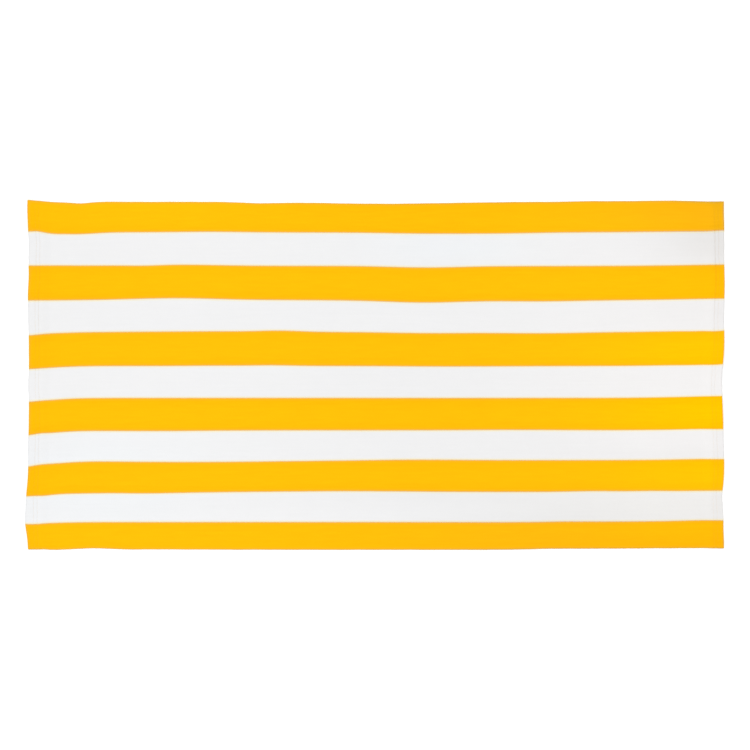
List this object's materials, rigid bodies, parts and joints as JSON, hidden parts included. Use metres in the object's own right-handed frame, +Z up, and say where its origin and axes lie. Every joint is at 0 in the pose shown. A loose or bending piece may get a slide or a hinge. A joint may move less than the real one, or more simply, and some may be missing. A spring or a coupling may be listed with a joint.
{
  "type": "beach towel",
  "caption": "Rectangular cabana-striped beach towel spread flat, with a turned and stitched hem at each short end.",
  "frame": {"origin": "on the surface the towel lies on, under the middle of its outline", "axes": "+X along the towel's length towards the picture's right, +Y across its width towards the picture's top, +Z up out of its face"},
  "size_m": [1.53, 0.7666, 0.0106],
  "materials": {
    "pile_cloth": "matte sheared cotton pile, golden yellow stripes alternating with white ones"
  },
  "bodies": {
    "root": {"towel": "pile_cloth"}
  },
  "joints": []
}
